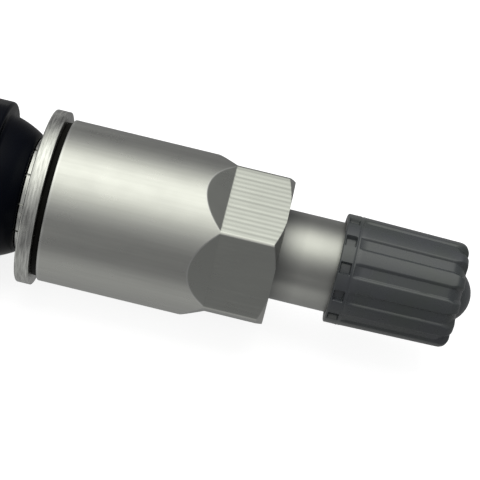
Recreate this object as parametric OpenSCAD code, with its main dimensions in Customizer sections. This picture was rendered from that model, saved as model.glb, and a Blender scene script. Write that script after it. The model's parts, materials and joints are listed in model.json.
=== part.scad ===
// Clamp-in tyre pressure sensor: a metal valve that screws through the rim, with the sensor housing behind it.
// Millimetres. The origin is on the valve's axis at the face where the washer meets the rim, +X runs out along
// the valve to its cap, and +Z is up from the housing's base.

/* [Rim joint] */
// Thickness of rim wall between washer and rubber flange
rim_wall_t = 4; // [3.5:0.1:5]
// Diameter of the rim washer
washer_d = 17.2; // [16.6:0.1:17.4]
// Thickness of the rim washer
washer_t = 1.4; // [1:0.1:2]
// Diameter of the collar that centres the washer in the rim's hole
collar_d = 11.2; // [11:0.05:11.3]
// Length of the centring collar
collar_len = 0.8; // [0.5:0.1:1.2]
// Number of slits in the centring collar
collar_slits = 12; // [8:1:16]
// Diameter of the black friction ring
ring_d = 15.2; // [14.4:0.1:15.8]
// Thickness of the friction ring
ring_t = 0.6; // [0.4:0.1:1]

/* [Rubber grommet] */
// Diameter of the flange inside the rim
flange_d = 16.6; // [15.8:0.1:17.2]
// Thickness of the flange
flange_t = 2.3; // [1.8:0.1:3]
// Corner radius of the flange
flange_round = 0.7; // [0.3:0.1:0.9]
// Diameter of the bulged nose where it leaves the flange
nose_d0 = 14.2; // [13.4:0.1:15]
// Diameter of the nose at its tip
nose_d1 = 11.6; // [11.4:0.1:12.2]
// Radius of the nose's bulge
nose_bulge = 9; // [7:0.5:14]

/* [Collar nut] */
// Diameter of the nut's round part
nut_d = 16; // [15.8:0.1:16.8]
// Width across the nut's flats
nut_af = 14; // [13.4:0.1:14.6]
// Length of the nut
nut_len = 22.1; // [20:0.1:24]
// Length of the hexagonal part, measured along the flats
hex_len = 5.8; // [4.5:0.1:7]
// Length of the sloping faces that lead up to the flats
slope_len = 2.15; // [1.5:0.05:3]
// Length of the chamfer at the nut's outer corners
nut_chamfer = 0.75; // [0.4:0.05:1.2]
// Chamfer at the nut's inner edge
nut_edge = 0.25; // [0.1:0.05:0.4]
// Length of the lip that closes the nut around the smooth stem
nut_lip = 2.6; // [1.5:0.1:4]
// Turn of the hexagon about the valve's axis
hex_clock = 18.2; // [0:0.1:60]

/* [Valve stem] */
// Diameter of the stem's threaded part inside the nut
thread_d = 10; // [9.6:0.1:10.2]
// Diameter of the smooth part between nut and cap
smooth_d = 8.9; // [8.6:0.1:9.2]
// Length of the smooth part that shows between nut and cap
smooth_len = 5.65; // [4.5:0.05:7]
// Diameter over the cap thread
tip_d = 7.75; // [7.5:0.05:8]
// Diameter of the air bore
air_d = 2.4; // [1.8:0.1:2.8]
// Diameter of the cross hole that lets the tyre's air in
vent_d = 1.3; // [0.8:0.1:1.4]
// Diameter of the metal foot that backs the grommet
foot_d = 13; // [12:0.1:14]
// Thickness of the metal foot
foot_t = 1; // [0.8:0.1:1.3]
// Diameter of the ball that the housing is clamped to
ball_d = 10; // [9.4:0.1:10.4]
// Distance from the metal foot's back to the ball's centre
ball_reach = 5.4; // [5.3:0.1:6.5]
// Diameter of the neck between foot and ball
neck_d = 7.2; // [6.6:0.1:7.4]

/* [Valve core] */
// Diameter of the core chamber's mouth
mouth_d = 5.4; // [5.2:0.1:5.6]
// Length of the chamber's mouth
mouth_len = 7.6; // [7:0.1:8.4]
// Diameter of the chamber below its seat
chamber_d = 4.2; // [4:0.05:4.4]
// Length of the chamber's tapered seat
seat_len = 1; // [0.7:0.1:1.3]
// Length of the chamber below its seat
chamber_len = 8; // [7:0.1:10]
// Diameter of the core's pin
pin_d = 1.1; // [0.9:0.05:1.2]
// Depth of the pin's head below the stem's mouth
pin_depth = 0.4; // [0.3:0.05:0.8]
// Length of the core's threaded plug
plug_len = 4.6; // [4:0.1:5]
// Depth of the plug below the stem's mouth
plug_depth = 0.9; // [0.8:0.05:1.1]
// Length of the core's barrel
barrel_len = 6.6; // [6:0.1:7.2]
// Outer diameter of the core's barrel
barrel_d = 3.7; // [3.5:0.05:3.8]
// Inner diameter of the core's barrel
barrel_bore = 2.7; // [2.6:0.05:2.8]
// Wire diameter of the core's spring
wire_d = 0.3; // [0.25:0.01:0.35]
// Number of turns in the core's spring
spring_turns = 8; // [6:1:9]

/* [Cap] */
// Diameter of the cap at its mouth
cap_d0 = 10.8; // [10.5:0.05:11.4]
// Diameter of the cap at its outer end
cap_d1 = 10.44; // [10.3:0.02:10.5]
// Length of the cap without its dome
cap_len = 12.15; // [11:0.05:14]
// Thickness of the cap's closed end
cap_end_t = 1.5; // [1.2:0.1:2]
// Radius of the rounding round the closed end
cap_round = 0.9; // [0.5:0.05:1.2]
// Height of the dome on the closed end
dome_h = 1.26; // [0.8:0.02:1.6]
// Diameter of the dome's base
dome_d = 4.8; // [4:0.1:5.4]
// Number of grip ribs
ribs = 12; // [10:1:14]
// Width of the flute between two ribs
flute_w = 1.45; // [1.1:0.05:1.6]
// Depth of the flutes
flute_depth = 0.26; // [0.15:0.01:0.3]
// Radius of the rounding that carries a flute's floor over the closed end
flute_round = 1.5; // [1.3:0.1:1.8]
// Length of the plain skirt with its pockets
skirt_len = 1.45; // [1.2:0.05:1.8]
// Length of the pockets in the skirt
pocket_len = 1; // [0.6:0.05:1]
// Depth of the pockets in the skirt
pocket_depth = 0.48; // [0.3:0.02:0.5]
// Thickness of the rubber seal inside the cap
seal_t = 1; // [0.8:0.05:1.2]

/* [Housing] */
// Height of the valve's axis over the base
axis_h = 8.7; // [8.7:0.1:10]
// Length of the electronics housing behind the yoke
body_len = 32; // [31:0.5:38]
// Width of the electronics housing
body_w = 28; // [27.6:0.2:32]
// Height of the housing's top over the valve's axis
body_top = 1.8; // [1.8:0.1:3]
// Thickness of the housing's side walls
wall_t = 1.3; // [1:0.1:1.5]
// Radius of the housing's upright corners
corner_r = 5; // [3:0.5:6]
// Width of the sloping edge round the housing's top
edge_run = 1.6; // [1:0.1:1.8]
// Height of the sloping edge round the housing's top
edge_rise = 0.9; // [0.5:0.1:1.1]
// Wall of the cup round the ball
cup_t = 2.5; // [2:0.1:2.8]
// Width of the yoke
yoke_w = 17; // [16.6:0.2:18]
// How far the yoke reaches past the ball's centre
yoke_reach = 2.6; // [1.5:0.1:2.6]
// Width of the screwdriver channel
channel_w = 6; // [5:0.2:6.4]
// Depth of the screwdriver channel's floor below the valve's axis
channel_drop = 2.4; // [2.3:0.05:2.5]
// Diameter of the hole that lets air to the sensor
port_d = 1.4; // [1:0.1:1.8]
// Thickness of the base cover
cover_t = 0.95; // [0.8:0.05:1]

/* [Clamp screw] */
// Diameter of the screw's shank
screw_d = 3.9; // [3.5:0.1:4]
// Diameter of the screw's head
head_d = 6.2; // [5.6:0.1:6.4]
// Height of the screw's head
head_h = 2.2; // [1.8:0.1:2.3]
// Largest angle of the valve over the base
tilt_max = 25; // [15:1:25]

/* [Electronics] */
// Diameter of the coin cell
cell_d = 16; // [15:0.5:16]
// Thickness of the coin cell
cell_t = 3.2; // [2.5:0.1:3.2]
// Thickness of the circuit board
board_t = 0.8; // [0.6:0.1:0.8]
// Side of the sensor chip
chip_side = 4.8; // [4.4:0.1:5]
// Height of the sensor chip
chip_t = 1.9; // [1.6:0.1:2]
// Length of the wake-up coil's core
coil_len = 7; // [6:0.2:7.4]
// Width of the wake-up coil's core
coil_w = 2.8; // [2.4:0.1:3]
// Height of the antenna strip over the board
antenna_h = 5.4; // [4:0.1:5.8]
// Thickness of sheet metal in tabs and antenna
sheet_t = 0.2; // [0.15:0.01:0.22]

/* [Hidden] */
$fn = 96;
eps = 0.01;

// Clearances
slide_gap = 0.06;   // between parts that are pushed together
turn_gap = 0.05;    // between a thread and what screws on it
lip_gap = 0.2;      // between the nut's lip or the cap's mouth and the smooth stem
ball_gap = 0.1;     // between ball and cup
face_gap = 0.05;    // between flat faces that only lie near each other

// Stations along X, from the rim outwards
nut_x0 = washer_t + ring_t;
nut_x1 = nut_x0 + nut_len;
flats_x0 = nut_x1 - hex_len;
slope_x0 = flats_x0 - slope_len;
lip_x0 = nut_x1 - nut_lip;
thread_x1 = lip_x0 - 0.5;
cap_x0 = nut_x1 + smooth_len;
cap_x1 = cap_x0 + cap_len;
mouth_x1 = cap_x0 + skirt_len + 0.2;
flute_lean = 0.7;
flute_clock = 15.4;
shoulder_x = mouth_x1 - 0.4;
seal_x1 = cap_x1 - cap_end_t;
seal_x0 = seal_x1 - seal_t;
tip_x = seal_x0 - face_gap;

// Stations along X, from the rim inwards
flange_x1 = -rim_wall_t;
flange_x0 = flange_x1 - flange_t;
foot_x1 = flange_x0 - face_gap;
foot_x0 = foot_x1 - foot_t;
ball_x = foot_x0 - ball_reach;
yoke_x1 = ball_x + yoke_reach;

// Radii
thread_r = thread_d / 2;
smooth_r = smooth_d / 2;
tip_r = tip_d / 2;
nut_r = nut_d / 2;
flat_r = nut_af / 2;
ball_r = ball_d / 2;
neck_r = neck_d / 2;
cup_ri = ball_r + ball_gap;
cup_ro = cup_ri + cup_t;
head_r = head_d / 2;

// Stations of the valve core, counted inwards from the stem's tip
plug_x1 = tip_x - plug_depth;
plug_x0 = plug_x1 - plug_len;
barrel_x1 = plug_x0 - face_gap;
barrel_x0 = barrel_x1 - barrel_len;
seat_x1 = tip_x - mouth_len;
seat_x0 = seat_x1 - seat_len;
chamber_x0 = seat_x0 - chamber_len;
barrel_floor = 0.8;
spring_x0 = barrel_x0 + barrel_floor;
spring_x1 = barrel_x1 - 0.7;
core_seal_t = 0.9;
core_cup_t = 0.5;

// Heights of the housing and its stack of inner parts
top_t = 1.4;
yoke_top = 5.8;
hood_t = 0.6;
base_z = -axis_h;
cover_z1 = base_z + face_gap + cover_t;
board_z0 = cover_z1 + face_gap;
board_z1 = board_z0 + board_t;
cell_z0 = board_z1 + sheet_t + 0.1;
cell_z1 = cell_z0 + cell_t;
channel_z = -channel_drop;
channel_floor_t = 0.8;
ceiling_z = body_top - top_t;
low_ceiling_z = channel_z - channel_floor_t;

// Stations of the housing
head_room = 0.8;
body_overlap = 4.2;
well_x0 = ball_x - cup_ro - head_h - head_room;
body_x1 = well_x0 + body_overlap;
body_x0 = body_x1 - body_len;
cavity_x0 = body_x0 + wall_t;
cavity_x1 = well_x0 - wall_t;
cavity_w = body_w - 2 * wall_t;
hump_y = channel_w / 2 + 1.1;
cover_lip = 0.6;
board_x0 = cavity_x0 + 0.4;
board_x1 = cavity_x1 - 0.4;
board_w = cavity_w - 0.8;
cell_x = board_x0 + cell_d / 2 + 0.2;
part_gap = 0.4;
corner_gap = [0.8, 1.2];
chip_x = board_x1 - corner_gap[0] - chip_side / 2;
chip_y = board_w / 2 - corner_gap[1] - chip_side / 2;
chip_z1 = board_z1 + chip_t;
gasket_t = 0.6;
gasket_d = chip_side - 1.2;
coil_x = board_x1 - corner_gap[0] - coil_w / 2;
coil_y1 = -board_w / 2 + corner_gap[1] + coil_len;
coil_y = coil_y1 - coil_len / 2;
coil_h = 2.8;
coil_flange = 0.15 * coil_len;
crystal_len = 2.5;
crystal_y1 = coil_y1 + part_gap + crystal_len;
antenna_y = board_w / 2 - 0.7;

// A round bar along X from x0 to x1
module bar(d, x0, x1) {
    translate([x0, 0, 0])
        rotate([0, 90, 0])
            cylinder(d = d, h = x1 - x0);
}

// Turns a profile drawn as [radius, x] about the valve's axis
module turned() {
    rotate([0, 90, 0])
        rotate_extrude()
            children();
}

// A ring's profile, from radius r0 to r1 and from x0 to x1
module ring_profile(r0, r1, x0, x1) {
    translate([r0, x0])
        square([r1 - r0, x1 - x0]);
}

// Carries what is drawn towards -Y to angle a, counted from the front (-Y) upwards
module at_angle(a) {
    rotate([-a, 0, 0])
        children();
}

// Repeats what is drawn towards -Y n times round the valve's axis
module around(n, first) {
    for (k = [0 : n - 1])
        at_angle(first + 360 * k / n)
            children();
}

// Carries what is drawn about the ball's centre to the valve's tilt a
module at_tilt(a) {
    translate([ball_x, 0, 0])
        rotate([0, -a, 0])
            children();
}

// An upright block with rounded corners
module rounded_block(x0, x1, w, z0, z1, r) {
    translate([0, 0, z0])
        linear_extrude(z1 - z0)
            union() {
                translate([x0 + r, -w / 2])
                    square([x1 - x0 - 2 * r, w]);
                translate([x0, -w / 2 + r])
                    square([x1 - x0, w - 2 * r]);
                for (x = [x0 + r, x1 - r], y = [-w / 2 + r, w / 2 - r])
                    translate([x, y])
                        circle(r = r);
            }
}

// A plain block between two corners
module block(p0, p1) {
    translate(p0)
        cube(p1 - p0);
}

// Side view of the yoke, in [x, z]: a round hood over the ball, cut off in front
module yoke_outline() {
    hood_r = cup_ro + hood_t;
    intersection() {
        union() {
            translate([ball_x, 0])
                circle(r = hood_r);
            translate([ball_x - hood_r, base_z])
                square([hood_r + yoke_reach, axis_h]);
        }
        translate([ball_x - hood_r, base_z])
            square([hood_r + yoke_reach, axis_h + yoke_top]);
    }
}

// The sector that a radial slot sweeps between two tilts, of width w, from radius r0 to r1
module swept_slot(w, r0, r1, a0, a1) {
    translate([ball_x, w / 2, 0])
        rotate([90, 0, 0])
            rotate([0, 0, a0])
                rotate_extrude(angle = a1 - a0)
                    translate([r0, 0])
                        square([r1 - r0, w]);
}

// The space that the ball and its neck need in the yoke over the whole tilt
module ball_space() {
    neck_space = neck_d + 0.5;
    turned()
        intersection() {
            union() {
                translate([0, ball_x])
                    circle(r = cup_ri);
                ring_profile(0, cup_ri, ball_x, yoke_x1 + 1);
            }
            ring_profile(0, cup_ri + 1, ball_x - cup_ri - 1, yoke_x1 + 2);
        }
    top = neck_space / 2;
    reach = 16;
    swing = [cos(tilt_max + 0.5), sin(tilt_max + 0.5)];
    start = top * [-swing[1], swing[0]];
    translate([ball_x, neck_space / 2, 0])
        rotate([90, 0, 0])
            linear_extrude(neck_space)
                polygon([[0, 0], [reach, 0], start + reach * swing, start]);
}

// The well behind the cup, where the screw's head moves
module screw_well() {
    half = head_r + 0.5;
    floor_t = 1.4;
    difference() {
        block([well_x0, -half, base_z + floor_t], [ball_x - 0.5, half, body_top + 10]);
        translate([ball_x, 0, 0])
            sphere(r = cup_ro);
    }
}

// The slot in the cup that the screw's shank slides along as the valve tilts
module screw_slot() {
    slot_w = screw_d + 0.3;
    translate([ball_x, 0, 0])
        rotate([0, 180, 0])
            translate([-ball_x, 0, 0])
                swept_slot(slot_w, cup_ri - 1, cup_ro + 1, -0.5, tilt_max + 0.5);
    for (a = [-0.5, tilt_max + 0.5])
        at_tilt(a)
            bar(slot_w - 0.1, -cup_ro - 1, -cup_ri + 1);
}

// The room for the battery and the electronics, open below
module electronics_room() {
    low = base_z - 1;
    rounded_block(cavity_x0, cavity_x1, cavity_w, low, low_ceiling_z, corner_r - wall_t);
    for (side = [-1, 1]) {
        y0 = side > 0 ? hump_y : -cavity_w / 2 + 0.6;
        y1 = side > 0 ? cavity_w / 2 - 0.6 : -hump_y;
        block([cavity_x0 + 1.5, y0, low_ceiling_z - 0.5], [cavity_x1, y1, ceiling_z]);
    }
    rounded_block(cavity_x0 - cover_lip, cavity_x1 + cover_lip, cavity_w + 2 * cover_lip,
        low, cover_z1, corner_r - wall_t + cover_lip);
}

// The wedge above a sloping edge, drawn for an edge that ends at [0, 0] and rises towards -X
module edge_wedge() {
    slope = edge_rise / edge_run;
    out = 1;
    polygon([
        [out, -edge_rise - out * slope], [out, out * slope], [-edge_run - out, out * slope]
    ]);
}

// The electronics housing's outer block
module body_block() {
    difference() {
        rounded_block(body_x0, body_x1, body_w, base_z, body_top, corner_r);
        for (side = [0, 1]) {
            mirror([0, side, 0])
                translate([body_x0 - 1, body_w / 2, body_top])
                    rotate([90, 0, 90])
                        linear_extrude(body_len + 2)
                            edge_wedge();
            translate([side > 0 ? body_x1 : body_x0, 0, body_top])
                mirror([1 - side, 0, 0])
                    rotate([90, 0, 0])
                        translate([0, 0, -body_w / 2 - 1])
                            linear_extrude(body_w + 2)
                                edge_wedge();
        }
    }
}

module housing() {
    chimney_d = gasket_d + 0.4;
    chimney_z0 = chip_z1 + gasket_t + face_gap;
    color([0.09, 0.09, 0.1])
        difference() {
            union() {
                difference() {
                    union() {
                        body_block();
                        translate([0, yoke_w / 2, 0])
                            rotate([90, 0, 0])
                                linear_extrude(yoke_w)
                                    yoke_outline();
                    }
                    screw_well();
                    block([body_x0 - 1, -channel_w / 2, channel_z],
                        [well_x0 + 1, channel_w / 2, body_top + 1]);
                    electronics_room();
                }
                // chimney from the ceiling down to the sensor's port
                translate([chip_x, chip_y, chimney_z0])
                    cylinder(d = chimney_d, h = ceiling_z + 0.4 - chimney_z0);
            }
            ball_space();
            screw_slot();
            translate([chip_x, chip_y, chip_z1])
                cylinder(d = port_d, h = body_top + 1 - chip_z1);
        }
}

module base_cover() {
    gap = 0.1;
    grow = cover_lip - gap;
    color([0.13, 0.13, 0.14])
        rounded_block(cavity_x0 - grow, cavity_x1 + grow, cavity_w + 2 * grow,
            base_z + face_gap, cover_z1, corner_r - wall_t + grow);
}

module circuit_board() {
    color([0.05, 0.3, 0.16])
        rounded_block(board_x0, board_x1, board_w, board_z0, board_z1, corner_r - wall_t - 0.4);
}

module coin_cell() {
    rim_h = 0.7;
    color([0.75, 0.75, 0.76])
        translate([cell_x, 0, cell_z0])
            rotate_extrude()
                polygon([
                    [0, 0], [cell_d / 2 - 1.4, 0], [cell_d / 2 - 1.2, 0.3], [cell_d / 2 - 0.3, 0.3],
                    [cell_d / 2, rim_h], [cell_d / 2, cell_t - 0.2], [cell_d / 2 - 0.2, cell_t], [0, cell_t]
                ]);
}

// The positive tab: a strip welded on the cell's top that steps down past its edge to the board
module cell_top_tab() {
    strip_w = 2.4;
    z0 = cell_z1 + eps;
    foot_y = -cell_d / 2 - 1.2;
    color([0.78, 0.76, 0.7])
        union() {
            block([cell_x - strip_w / 2, foot_y, z0], [cell_x + strip_w / 2, -hump_y - 0.3, z0 + sheet_t]);
            block([cell_x - strip_w / 2, foot_y, board_z1], [cell_x + strip_w / 2, foot_y + sheet_t, z0 + sheet_t]);
            block([cell_x - strip_w / 2, foot_y - 1.1, board_z1],
                [cell_x + strip_w / 2, foot_y + sheet_t, board_z1 + sheet_t]);
        }
}

// The negative tab: a flat strip between the cell and the board
module cell_bottom_tab() {
    strip_w = 3;
    z0 = board_z1 + face_gap;
    color([0.78, 0.76, 0.7])
        block([cell_x - strip_w / 2, -4, z0], [cell_x + strip_w / 2, cell_d / 2 + 1.4, z0 + sheet_t]);
}

module sensor_chip() {
    color([0.06, 0.06, 0.07])
        difference() {
            block([chip_x - chip_side / 2, chip_y - chip_side / 2, board_z1],
                [chip_x + chip_side / 2, chip_y + chip_side / 2, chip_z1]);
            translate([chip_x, chip_y, chip_z1 - 0.5])
                cylinder(d = port_d, h = 1);
        }
}

module port_gasket() {
    color([0.35, 0.12, 0.1])
        translate([chip_x, chip_y, chip_z1])
            difference() {
                cylinder(d = gasket_d, h = gasket_t);
                translate([0, 0, -1])
                    cylinder(d = port_d + 0.4, h = gasket_t + 2);
            }
}

// Ferrite core that lies across the housing, with a flange at each end
module coil_core() {
    half = coil_len / 2;
    inset = 0.8;
    color([0.2, 0.19, 0.19])
        translate([coil_x, coil_y, board_z1])
            union() {
                block([-coil_w / 2, -half, 0], [coil_w / 2, -half + coil_flange, coil_h]);
                block([-coil_w / 2, half - coil_flange, 0], [coil_w / 2, half, coil_h]);
                block([-coil_w / 2 + inset, -half, inset], [coil_w / 2 - inset, half, coil_h - inset]);
            }
}

module coil_winding() {
    half = coil_len / 2 - coil_flange - face_gap;
    outer = 0.2;
    inner = 0.75;
    color([0.72, 0.38, 0.2])
        translate([coil_x, coil_y, board_z1])
            difference() {
                block([-coil_w / 2 + outer, -half, outer], [coil_w / 2 - outer, half, coil_h - outer]);
                block([-coil_w / 2 + inner, -half - 1, inner], [coil_w / 2 - inner, half + 1, coil_h - inner]);
            }
}

// A stamped strip that stands on two feet along the board's edge
module antenna() {
    x0 = board_x0 + 3.4;
    x1 = chip_x - chip_side / 2 - 0.5;
    strip_t = 2 * sheet_t;
    strip_w = 1.4;
    foot_w = 1.6;
    color([0.8, 0.78, 0.72])
        translate([0, antenna_y - strip_t / 2, board_z1])
            union() {
                block([x0, 0, antenna_h - strip_w], [x1, strip_t, antenna_h]);
                block([x0, 0, 0], [x0 + foot_w, strip_t, antenna_h]);
                block([x1 - foot_w, 0, 0], [x1, strip_t, antenna_h]);
            }
}

module crystal() {
    crystal_w = 1.6;
    crystal_h = 0.8;
    color([0.8, 0.8, 0.82])
        block([board_x1 - part_gap - crystal_w, crystal_y1 - crystal_len, board_z1],
            [board_x1 - part_gap, crystal_y1, board_z1 + crystal_h]);
}

// Six small chip capacitors in two rows
module capacitors() {
    size = [0.9, 0.5, 0.55];
    pitch = size + [0.25, 0.35, 0];
    color([0.62, 0.5, 0.36])
        for (i = [0 : 1], j = [0 : 2])
            translate([board_x1 - part_gap - size[0] - i * pitch[0], crystal_y1 + part_gap + j * pitch[1], board_z1])
                cube(size);
}

// The screw that pulls the ball into the housing's cup, with a six-lobed socket
module clamp_screw() {
    head_x0 = -cup_ro - face_gap - head_h;
    socket_r = 1.15;
    lobe_r = 0.36;
    socket_x1 = head_x0 + 1.3;
    color([0.66, 0.67, 0.68])
        translate([ball_x, 0, 0])
            difference() {
                union() {
                    difference() {
                        bar(head_d, head_x0, -cup_ri);
                        sphere(r = cup_ro + face_gap);
                    }
                    bar(screw_d, head_x0 + 1.5, 0.9);
                }
                bar(2 * socket_r, head_x0 - 1, socket_x1);
                around(6, 0)
                    translate([0, -socket_r, 0])
                        bar(2 * lobe_r, head_x0 - 1, socket_x1);
            }
}

module valve_stem() {
    edge = 0.3;
    blunt = 0.5;
    color([0.62, 0.62, 0.6])
        difference() {
            union() {
                translate([ball_x, 0, 0])
                    sphere(r = ball_r);
                bar(neck_d, ball_x, foot_x0 + eps);
                turned()
                    polygon([
                        [0, foot_x0], [foot_d / 2 - edge, foot_x0], [foot_d / 2, foot_x0 + edge],
                        [foot_d / 2, foot_x1], [thread_r, foot_x1], [thread_r, thread_x1 - blunt],
                        [smooth_r, thread_x1], [smooth_r, shoulder_x - edge], [smooth_r - edge, shoulder_x],
                        [tip_r, shoulder_x], [tip_r, tip_x - blunt], [tip_r - blunt, tip_x], [0, tip_x]
                    ]);
            }
            turned()
                polygon([
                    [0, tip_x + 1], [mouth_d / 2, tip_x + 1], [mouth_d / 2, seat_x1], [chamber_d / 2, seat_x0],
                    [chamber_d / 2, chamber_x0], [air_d / 2, chamber_x0 - 0.6], [air_d / 2, foot_x0 - 1.6],
                    [0, foot_x0 - 1.6]
                ]);
            // cross hole just behind the metal foot
            translate([foot_x0 - 0.3 - vent_d / 2, 0, -neck_r - 1])
                cylinder(d = vent_d, h = neck_d + 2);
            // blind hole for the clamp screw
            bar(screw_d + 2 * turn_gap, ball_x - ball_r - 1, ball_x + 1.1);
        }
}

// Centre of the circle through both ends of the nose's bulge, as [radius, x]
nose_p0 = [nose_d0 / 2, flange_x1];
nose_p1 = [nose_d1 / 2, -collar_len];
nose_chord = nose_p1 - nose_p0;
nose_inward = [-nose_chord[1], nose_chord[0]] / norm(nose_chord);
nose_centre = (nose_p0 + nose_p1) / 2
    + nose_inward * sqrt(pow(nose_bulge, 2) - pow(norm(nose_chord) / 2, 2));

module rubber_grommet() {
    r0 = thread_r + slide_gap;
    r1 = flange_d / 2;
    f = flange_round;
    color([0.03, 0.03, 0.05])
        turned()
            union() {
                ring_profile(r0, r1 - f, flange_x0, flange_x1);
                ring_profile(r0, r1, flange_x0 + f, flange_x1 - f);
                for (x = [flange_x0 + f, flange_x1 - f])
                    translate([r1 - f, x])
                        circle(r = f);
                intersection() {
                    ring_profile(r0, r1, flange_x1 - f, -collar_len - face_gap);
                    translate(nose_centre)
                        circle(r = nose_bulge, $fn = 240);
                }
            }
}

module rim_washer() {
    front = 0.35;
    back = 0.12;
    bore = thread_r + 0.1;
    r = washer_d / 2;
    slit = 0.2;
    color([0.72, 0.72, 0.7])
        difference() {
            turned()
                union() {
                    ring_profile(bore, collar_d / 2, -collar_len, eps);
                    polygon([
                        [bore, 0], [r - back, 0], [r, back], [r, washer_t - front],
                        [r - front, washer_t - front], [r - front, washer_t], [bore, washer_t]
                    ]);
                    translate([r - front, washer_t - front])
                        circle(r = front);
                }
            around(collar_slits, 1.5)
                block([-collar_len - 1, -collar_d / 2 - 1, -slit / 2], [-face_gap, -bore + 0.2, slit / 2]);
        }
}

module friction_ring() {
    color([0.02, 0.02, 0.02])
        turned()
            ring_profile(thread_r + 0.15, ring_d / 2, washer_t, washer_t + ring_t);
}

// Cuts one flat of the hexagon and the sloping face before it
module flat_cutter() {
    rise = 1.5;
    run = rise * slope_len / (nut_r - flat_r);
    translate([0, 0, -nut_r])
        linear_extrude(2 * nut_r)
            polygon([
                [slope_x0 - run, -nut_r - rise], [flats_x0, -flat_r],
                [nut_x1 + 1, -flat_r], [nut_x1 + 1, -nut_r - rise]
            ]);
}

module collar_nut() {
    end_r = flat_r - 0.1;
    bore = thread_r + turn_gap;
    lip_r = smooth_r + lip_gap;
    color([0.7, 0.7, 0.68])
        difference() {
            turned()
                polygon([
                    [0, nut_x0], [nut_r - nut_edge, nut_x0], [nut_r, nut_x0 + nut_edge],
                    [nut_r, nut_x1 - nut_chamfer], [end_r, nut_x1], [0, nut_x1]
                ]);
            around(6, hex_clock)
                flat_cutter();
            turned()
                polygon([
                    [0, nut_x0 - 1], [bore + 1.4, nut_x0 - 1], [bore, nut_x0 + 0.4], [bore, lip_x0],
                    [lip_r, lip_x0 + 0.3], [lip_r, nut_x1 - 0.3], [lip_r + 1.3, nut_x1 + 1], [0, nut_x1 + 1]
                ]);
        }
}

// The cap's outer form before its flutes are cut
module cap_blank() {
    r0 = cap_d0 / 2;
    r1 = cap_d1 / 2;
    round_x = cap_x1 - cap_round;
    dome_r = (pow(dome_d / 2, 2) + pow(dome_h, 2)) / (2 * dome_h);
    turned()
        union() {
            polygon([
                [0, cap_x0], [r0 - 0.4, cap_x0], [r0, cap_x0 + 0.2],
                [r1, round_x], [r1 - cap_round, cap_x1], [0, cap_x1]
            ]);
            translate([r1 - cap_round, round_x])
                circle(r = cap_round);
            intersection() {
                ring_profile(0, dome_d, cap_x1 - 0.5, cap_x1 + dome_h);
                translate([0, cap_x1 + dome_h - dome_r])
                    circle(r = dome_r);
            }
        }
}

// One flute: flat floored, with walls that lean outwards, following the cap's taper
module flute_cutter() {
    r0 = cap_d0 / 2;
    out = 1;
    floor_w = flute_w - 2 * flute_lean * flute_depth;
    taper = atan((cap_d0 - cap_d1) / 2 / (cap_len - cap_round));
    translate([cap_x0 + skirt_len, -r0, 0])
        rotate([0, 0, taper])
            rotate([90, 0, 90])
                linear_extrude(cap_len)
                    polygon([
                        [flute_depth, -floor_w / 2], [flute_depth, floor_w / 2],
                        [-out, floor_w / 2 + flute_lean * (out + flute_depth)],
                        [-out, -floor_w / 2 - flute_lean * (out + flute_depth)]
                    ]);
}

// Carries the floor of one flute round the closed end, so that the flutes notch the end's rim
module flute_end_cutter() {
    w = flute_w - flute_lean * flute_depth;
    floor_r = cap_d1 / 2 - flute_depth;
    centre = [cap_x1 - flute_round, flute_round - floor_r];
    translate([0, 0, -w / 2])
        linear_extrude(w)
            difference() {
                translate([centre[0], centre[1] - floor_r])
                    square([flute_round + 1, floor_r]);
                translate(centre)
                    circle(r = flute_round);
            }
}

// One pocket in the skirt, in line with a flute
module pocket_cutter() {
    r0 = cap_d0 / 2;
    x0 = cap_x0 + (skirt_len - pocket_len) / 2;
    block([x0, -r0 - 1, -flute_w / 2 + 0.15], [x0 + pocket_len, -r0 + pocket_depth, flute_w / 2 - 0.15]);
}

module valve_cap() {
    mouth_r = smooth_r + lip_gap;
    bore = tip_r + turn_gap;
    groove = 0.08;
    groove_x = cap_x0 + skirt_len;
    color([0.27, 0.28, 0.29])
        difference() {
            cap_blank();
            around(ribs, flute_clock) {
                flute_cutter();
                flute_end_cutter();
                pocket_cutter();
            }
            turned()
                polygon([
                    [cap_d0 / 2 - groove, groove_x], [cap_d0 / 2 + 1, groove_x - 1], [cap_d0 / 2 + 1, groove_x + 1]
                ]);
            turned()
                polygon([
                    [0, cap_x0 - 1], [mouth_r, cap_x0 - 1], [mouth_r, mouth_x1], [bore, mouth_x1 + 0.3],
                    [bore, seal_x1], [0, seal_x1]
                ]);
        }
}

module cap_seal() {
    color([0.08, 0.08, 0.08])
        turned()
            ring_profile(1.5, tip_r - 0.1, seal_x0, seal_x1 - eps);
}

// The plug that screws into the stem's mouth, with a bridge for the core key
module core_plug() {
    key_len = 1.6;
    key_t = 1.7;
    r = mouth_d / 2 - turn_gap;
    color([0.76, 0.62, 0.32])
        difference() {
            bar(2 * r, plug_x0, plug_x1);
            bar(pin_d + 1, plug_x0 - 1, plug_x1 + 1);
            for (side = [-1, 1])
                translate([plug_x1 - key_len, side > 0 ? key_t / 2 + 0.2 : -r - 1 - key_t / 2 - 0.2, -r])
                    cube([key_len + 1, r + 1, 2 * r]);
        }
}

// The tube below the plug, which holds the spring and carries the seat
module core_barrel() {
    r = barrel_d / 2;
    color([0.76, 0.62, 0.32])
        turned()
            difference() {
                ring_profile(0, r, barrel_x0, barrel_x1);
                ring_profile(0, barrel_bore / 2, spring_x0, barrel_x1 + 1);
                ring_profile(0, pin_d / 2 + 0.2, barrel_x0 - 1, spring_x0 + 1);
            }
}

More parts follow.
